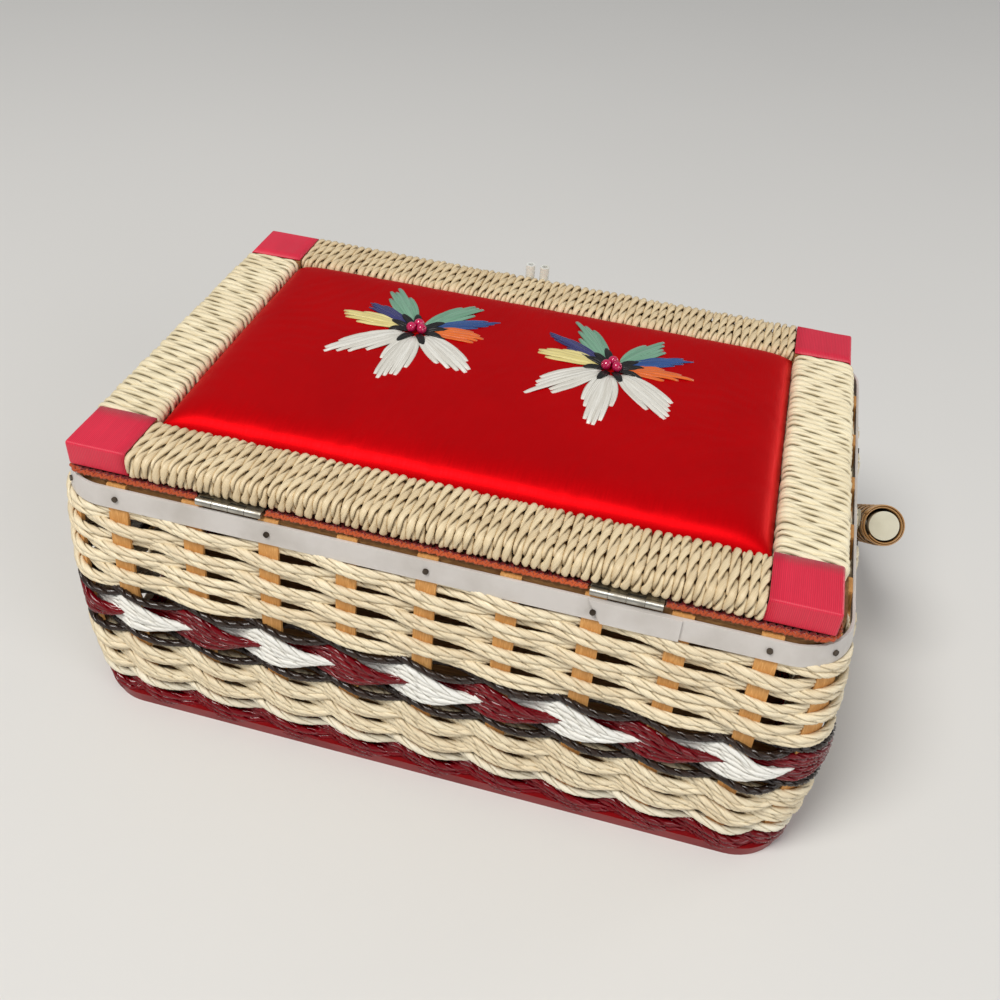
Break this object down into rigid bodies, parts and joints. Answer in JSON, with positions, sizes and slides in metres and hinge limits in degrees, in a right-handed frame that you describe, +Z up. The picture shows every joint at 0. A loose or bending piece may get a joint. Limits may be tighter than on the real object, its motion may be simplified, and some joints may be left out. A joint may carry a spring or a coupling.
{
  "type": "wicker sewing box",
  "caption": "Woven sewing box with bulging cord walls on wooden stakes, a hinged cord-wound lid with a flowered satin pad, a swing handle and a loop closure.",
  "frame": {"origin": "Middle of the base, on the table.", "axes": "+X along the long side, +Y to the front with the closure, hinges at the back, +Z up."},
  "size_m": [0.3452, 0.2307, 0.1419],
  "materials": {
    "bare_wood": "plain sawn softwood, orange tan",
    "red_paint": "gloss red paint on wood",
    "natural_cord": "two-ply twisted paper or seagrass cord, cream to beige",
    "red_cord": "glossy dark red plastic cord",
    "white_cord": "white plastic cord, satin sheen",
    "dark_cord": "glossy brown-black plastic cord",
    "white_band": "milky white plastic strip",
    "zinc_steel": "dull zinc-plated steel",
    "red_ribbon": "ribbed red ribbon with a slight sheen",
    "orange_braid": "knitted orange and red braid",
    "red_satin": "red satin, bright sheen",
    "lining_cloth": "plain red lining cloth on board",
    "raffia": "raffia satin stitch in white and colours",
    "pink_bead": "gloss pink-red bead",
    "white_vinyl": "white vinyl tube",
    "white_core": "off-white core",
    "tan_cane": "flat tan cane wrap"
  },
  "bodies": {
    "basket": {"base_board": "bare_wood", "base_rim": "red_paint", "right_stakes": "bare_wood", "front_stakes": "bare_wood", "left_stakes": "bare_wood", "back_stakes": "bare_wood", "corner_stakes": "bare_wood", "red_lower_weave": "red_cord", "white_edge_course": "white_cord", "lower_natural_weave": "natural_cord", "lower_dark_course": "dark_cord", "upper_dark_course": "dark_cord", "upper_natural_weave": "natural_cord", "white_twined_course": "white_cord", "red_twined_course": "red_cord", "inner_hoop": "bare_wood", "rim_band": "white_band", "rim_nails": "zinc_steel", "hinge_screws": "zinc_steel", "hinge_leaf_left": "zinc_steel", "hinge_leaf_right": "zinc_steel", "hinge_pin_left": "zinc_steel", "hinge_pin_right": "zinc_steel", "handle_bolt_right": "zinc_steel", "handle_bolt_left": "zinc_steel", "handle_washers": "zinc_steel", "handle_nuts": "zinc_steel", "handle_spacer_right": "white_band", "handle_spacer_left": "white_band", "closure_peg": "bare_wood", "peg_screw": "zinc_steel"},
    "lid": {"front_rail": "bare_wood", "back_rail": "bare_wood", "right_rail": "bare_wood", "left_rail": "bare_wood", "front_winding": "natural_cord", "back_winding": "natural_cord", "right_winding": "natural_cord", "left_winding": "natural_cord", "front_right_cover": "red_ribbon", "front_left_cover": "red_ribbon", "back_right_cover": "red_ribbon", "back_left_cover": "red_ribbon", "lid_braid": "orange_braid", "lid_lining": "lining_cloth", "pad_board": "bare_wood", "satin_pad": "red_satin", "left_flower": "raffia", "right_flower": "raffia", "flower_beads": "pink_bead", "lid_hinge_screws": "zinc_steel", "lid_hinge_leaf_left": "zinc_steel", "lid_hinge_leaf_right": "zinc_steel", "loop_tails": "white_vinyl", "loop_nails": "zinc_steel"},
    "handle": {"handle_core": "white_core", "handle_wrap": "tan_cane"},
    "loop": {"closure_loop": "white_vinyl"}
  },
  "joints": [
    {"name": "lid_hinge", "type": "hinge", "parent": "basket", "child": "lid", "pos_m": [0, -0.094, 0.1221], "axis": [1, 0, 0], "range_deg": [0, 100]},
    {"name": "handle_swing", "type": "hinge", "parent": "basket", "child": "handle", "pos_m": [0, 0.015, 0.091], "axis": [1, 0, 0], "range_deg": [0, 234]},
    {"name": "loop_swing", "type": "hinge", "parent": "lid", "child": "loop", "pos_m": [-0.0068, 0.0945, 0.126], "axis": [1, 0, 0], "range_deg": [-17, 10]}
  ]
}
